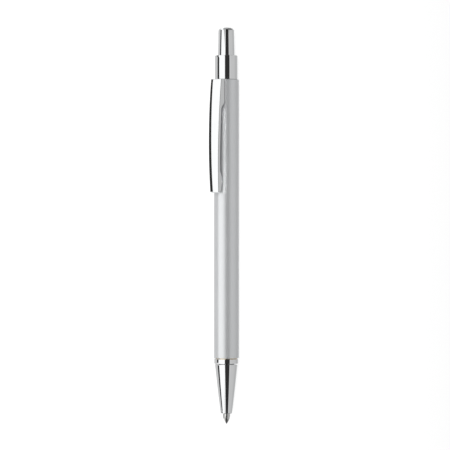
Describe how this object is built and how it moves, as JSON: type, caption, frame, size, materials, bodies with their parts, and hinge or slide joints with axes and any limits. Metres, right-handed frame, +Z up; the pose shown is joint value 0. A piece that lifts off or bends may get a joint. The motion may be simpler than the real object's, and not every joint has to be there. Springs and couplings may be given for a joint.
{
  "type": "ballpoint pen",
  "caption": "Slim click ballpoint pen, satin metal barrel with chromed nose, collar, push button and sprung clip, lying on its side with the writing point out.",
  "frame": {"origin": "middle of the pen's box at the plane it lies on, pen on its side, resting on the barrel and the lower edge of the clip", "axes": "+X along the pen towards the writing point, +Z up from the resting plane, the clip points towards -Y and a little down"},
  "size_m": [0.1354, 0.0116, 0.0085],
  "materials": {
    "satin_aluminium": "satin",
    "chrome": "polished",
    "brass": "satin",
    "sleeve_plastic": "satin",
    "cam_plastic": "satin",
    "spring_steel": "satin",
    "tube_plastic": "gloss",
    "ink": "gloss",
    "point_metal": "satin",
    "ball_metal": "polished"
  },
  "bodies": {
    "barrel": {"barrel": "satin_aluminium", "thread_bush": "brass", "top_collar": "chrome", "guide_sleeve": "sleeve_plastic", "return_spring": "spring_steel"},
    "clip": {"clip": "chrome"},
    "nose_ring": {"nose_ring": "chrome"},
    "nose": {"nose_cone": "chrome"},
    "button": {"button_cap": "chrome", "plunger": "cam_plastic"},
    "refill": {"refill_tube": "tube_plastic", "ink_column": "ink", "point_holder": "point_metal", "writing_point": "point_metal"},
    "cam": {"cam_rotor": "cam_plastic"},
    "ball": {"writing_ball": "ball_metal"}
  },
  "joints": [
    {"name": "button_press", "type": "slide", "parent": "barrel", "child": "button", "axis": [1, 0, 0], "range_m": [-0.005, 0.0012], "stiffness_N_per_m": 250},
    {"name": "refill_slide", "type": "slide", "parent": "barrel", "child": "refill", "axis": [1, 0, 0], "range_m": [-0.005, 0.0012], "deforming": ["return_spring"]},
    {"name": "cam_turn", "type": "hinge", "parent": "refill", "child": "cam", "pos_m": [-0.0375, 0.00154, 0.00425], "axis": [1, 0, 0], "continuous": true},
    {"name": "ball_roll", "type": "hinge", "parent": "refill", "child": "ball", "pos_m": [0.06738, 0.00154, 0.00425], "axis": [0, 1, 0], "continuous": true},
    {"name": "ring_slide", "type": "slide", "parent": "barrel", "child": "nose_ring", "axis": [1, 0, 0], "range_m": [0, 0.00525]},
    {"name": "nose_turn", "type": "hinge", "parent": "nose_ring", "child": "nose", "pos_m": [0.0555, 0.00154, 0.00425], "axis": [1, 0, 0], "range_deg": [0, 2520]},
    {"name": "clip_flex", "type": "hinge", "parent": "barrel", "child": "clip", "pos_m": [-0.04942, -0.00225, 0.00298], "axis": [0, 0.3184, -0.9479], "range_deg": [0, 3], "stiffness_Nm_per_rad": 6}
  ],
  "couplings": [
    {"joint": "refill_slide", "follows": "button_press", "ratio": 1},
    {"joint": "nose_turn", "follows": "ring_slide", "rad_per_m": 8377.6}
  ]
}
